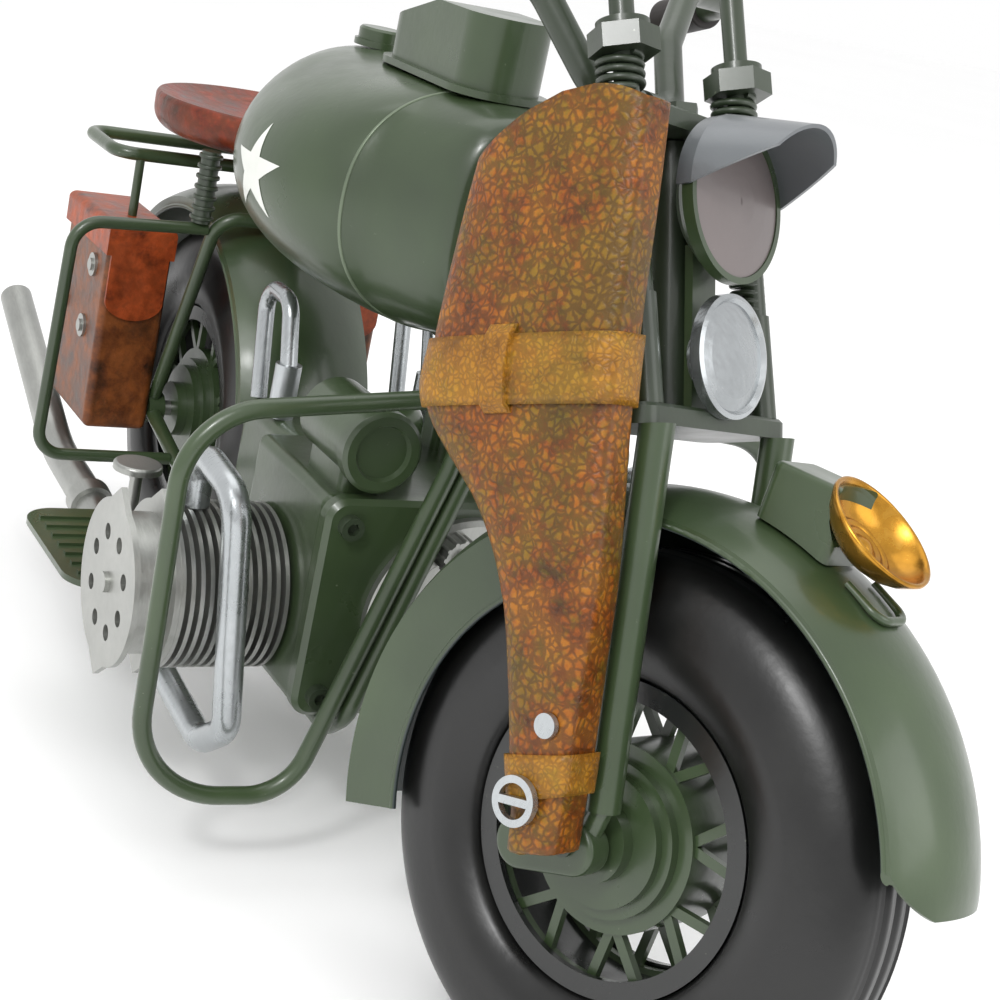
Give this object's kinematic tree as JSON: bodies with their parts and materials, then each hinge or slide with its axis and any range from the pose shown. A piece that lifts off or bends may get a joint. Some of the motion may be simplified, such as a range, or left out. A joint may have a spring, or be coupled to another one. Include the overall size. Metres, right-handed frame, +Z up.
{
  "type": "tin toy motorcycle",
  "caption": "Sheet-metal toy motorcycle with a flat-twin engine, sprung fork, spoked wheels, crash bars, saddlebags, a gun scabbard on the fork and a side stand.",
  "frame": {"origin": "on the ground midway between the axles, in the middle plane of the frame", "axes": "+X forward, +Y to the rider's left, +Z up; the fork is turned to the left at rest"},
  "size_m": [0.4013, 0.1662, 0.2276],
  "materials": {
    "green_paint": "satin olive green paint",
    "dark_green_paint": "satin dark green paint",
    "black_paint": "gloss black paint",
    "tyre_rubber": "smooth black",
    "silver_metal": "dull polished",
    "silver_paint": "silver",
    "leather_paint": "painted to look like worn leather",
    "bag_paint": "red-brown painted to look like leather",
    "seat_paint": "red-brown",
    "amber_lamp": "amber",
    "grip_rubber": "matte black"
  },
  "bodies": {
    "frame": {"tank_body": "green_paint", "tank_bulges": "green_paint", "filler_cap": "green_paint", "instrument_housing": "green_paint", "head_tube": "dark_green_paint", "backbone": "dark_green_paint", "cradle": "green_paint", "seat_stays": "green_paint", "rear_axle": "silver_metal", "front_guard_bars": "green_paint", "rear_guard_bars": "green_paint", "engine_case": "green_paint", "front_cover": "green_paint", "cover_bolts": "dark_green_paint", "crank_disc": "silver_metal", "breather_knob": "silver_metal", "intake_cans": "green_paint", "cylinders": "silver_metal", "cylinder_heads": "silver_metal", "exhaust_pipes": "silver_metal", "mufflers": "silver_metal", "gearbox": "green_paint", "crossover_pipes": "silver_metal", "seat": "seat_paint", "seat_mounts": "dark_green_paint", "rear_mudguard": "green_paint", "rack": "green_paint", "tail_lamp": "dark_green_paint", "saddlebags": "bag_paint", "bag_covers": "bag_paint", "bag_studs": "silver_metal", "footboards": "green_paint", "pedals": "silver_metal"},
    "fork": {"front_axle": "dark_green_paint", "fork_legs": "green_paint", "lower_bridge": "dark_green_paint", "spring_columns": "dark_green_paint", "fork_springs": "dark_green_paint", "fork_nuts": "dark_green_paint", "top_yoke": "dark_green_paint", "handlebar": "dark_green_paint", "grips": "grip_rubber", "bar_clamps": "dark_green_paint", "headlight_bucket": "green_paint", "headlight_lens": "silver_paint", "headlight_visor": "silver_paint", "horn": "silver_metal", "front_mudguard": "green_paint", "guard_lamp": "amber_lamp", "lamp_bracket": "green_paint", "scabbard": "leather_paint", "scabbard_straps": "leather_paint", "scabbard_metalwork": "silver_metal"},
    "front_wheel": {"front_tyre": "tyre_rubber", "front_rim": "black_paint", "front_spoked_hub": "green_paint"},
    "rear_wheel": {"rear_tyre": "tyre_rubber", "rear_rim": "black_paint", "rear_spoked_hub": "green_paint"},
    "stand": {"side_stand": "dark_green_paint"}
  },
  "joints": [
    {"name": "steering", "type": "hinge", "parent": "frame", "child": "fork", "pos_m": [0.1, 0, 0.1315], "axis": [-0.3907, 0, 0.9205], "range_deg": [-43.9, 1.1]},
    {"name": "front_wheel_spin", "type": "hinge", "parent": "fork", "child": "front_wheel", "pos_m": [0.12635, -0.00203, 0.05615], "axis": [-0.3359, 0.9311, -0.1426], "continuous": true},
    {"name": "rear_wheel_spin", "type": "hinge", "parent": "frame", "child": "rear_wheel", "pos_m": [-0.126, 0, 0.056], "axis": [0, 1, 0], "continuous": true},
    {"name": "side_stand_fold", "type": "hinge", "parent": "frame", "child": "stand", "pos_m": [0, 0.03116, 0.02752], "axis": [0, 0.8161, 0.5779], "range_deg": [0, 80]}
  ]
}
